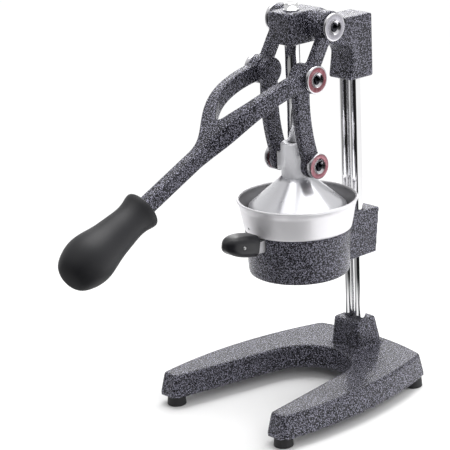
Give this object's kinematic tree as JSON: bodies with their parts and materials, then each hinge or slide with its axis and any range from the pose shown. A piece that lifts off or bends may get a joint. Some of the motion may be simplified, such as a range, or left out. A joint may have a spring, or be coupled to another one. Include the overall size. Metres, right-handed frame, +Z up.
{
  "type": "citrus press juicer",
  "caption": "Lever citrus press: cast base, twin columns, strainer bowl, and a forked lever that drives a sliding press cone.",
  "frame": {"origin": "on the floor under the middle of the bounding box", "axes": "+Z up, -Y towards the lever's grip, +X to the right"},
  "size_m": [0.2028, 0.4158, 0.4152],
  "materials": {
    "hammer_paint": "hammered silver and black enamel, glossy",
    "chromed_rod": "polished chrome plate",
    "spun_aluminium": "brushed spun aluminium",
    "strainer_steel": "satin stainless steel",
    "pivot_steel": "satin screw heads with bright rims",
    "tinted_steel": "bright screw head with a dull red ring",
    "washer_chrome": "bright plated",
    "bronze_bush": "plain bearing bronze",
    "grip_rubber": "matte black rubber",
    "handle_plastic": "satin black plastic",
    "foot_rubber": "matte black rubber",
    "plain_steel": "zinc plated fasteners"
  },
  "bodies": {
    "frame": {"base_casting": "hammer_paint", "bowl_holder": "hammer_paint", "column_bolts": "plain_steel", "column_left": "chromed_rod", "column_right": "chromed_rod", "column_washers": "plain_steel", "foot_front_left": "foot_rubber", "foot_front_right": "foot_rubber", "foot_rear_left": "foot_rubber", "foot_rear_right": "foot_rubber", "foot_screws": "plain_steel", "guide_bush": "bronze_bush", "head_casting": "hammer_paint", "head_set_screws": "plain_steel", "holder_set_screws": "plain_steel", "shoulder_screw_left": "pivot_steel", "shoulder_screw_right": "pivot_steel", "shoulder_washer_left": "washer_chrome", "shoulder_washer_right": "washer_chrome", "strainer_core": "strainer_steel", "strainer_cup": "strainer_steel", "strainer_grip": "handle_plastic", "strainer_grip_pin": "plain_steel", "strainer_tang": "strainer_steel"},
    "lever": {"elbow_screw_left": "tinted_steel", "elbow_screw_right": "tinted_steel", "elbow_washer_left": "washer_chrome", "elbow_washer_right": "washer_chrome", "lever_bush_left": "bronze_bush", "lever_bush_right": "bronze_bush", "lever_grip": "grip_rubber", "lever_yoke": "hammer_paint"},
    "plunger": {"plunger_rod": "chromed_rod", "press_hub": "spun_aluminium", "press_cone": "spun_aluminium", "cone_nut": "spun_aluminium", "hip_screw_left": "tinted_steel", "hip_screw_right": "tinted_steel", "hip_washer_left": "washer_chrome", "hip_washer_right": "washer_chrome"},
    "link_left": {"link_left": "hammer_paint"},
    "link_right": {"link_right": "hammer_paint"}
  },
  "joints": [
    {"name": "lever_swing", "type": "hinge", "parent": "frame", "child": "lever", "pos_m": [0, 0.10959, 0.3926], "axis": [-1, 0, 0], "range_deg": [0, 90]},
    {"name": "plunger_slide", "type": "slide", "parent": "frame", "child": "plunger", "axis": [0, 0, 1], "range_m": [0, 0.08011]},
    {"name": "link_left_swing", "type": "hinge", "parent": "plunger", "child": "link_left", "pos_m": [0, 0.09209, 0.2532], "axis": [1, 0, 0], "range_deg": [0, 11.72]},
    {"name": "link_right_swing", "type": "hinge", "parent": "plunger", "child": "link_right", "pos_m": [0, 0.09209, 0.2532], "axis": [1, 0, 0], "range_deg": [0, 11.72]}
  ],
  "couplings": [
    {"joint": "plunger_slide", "follows": "lever_swing", "m_per_rad": 0.050993},
    {"joint": "link_left_swing", "follows": "lever_swing", "ratio": 0.13026},
    {"joint": "link_right_swing", "follows": "lever_swing", "ratio": 0.13026}
  ]
}
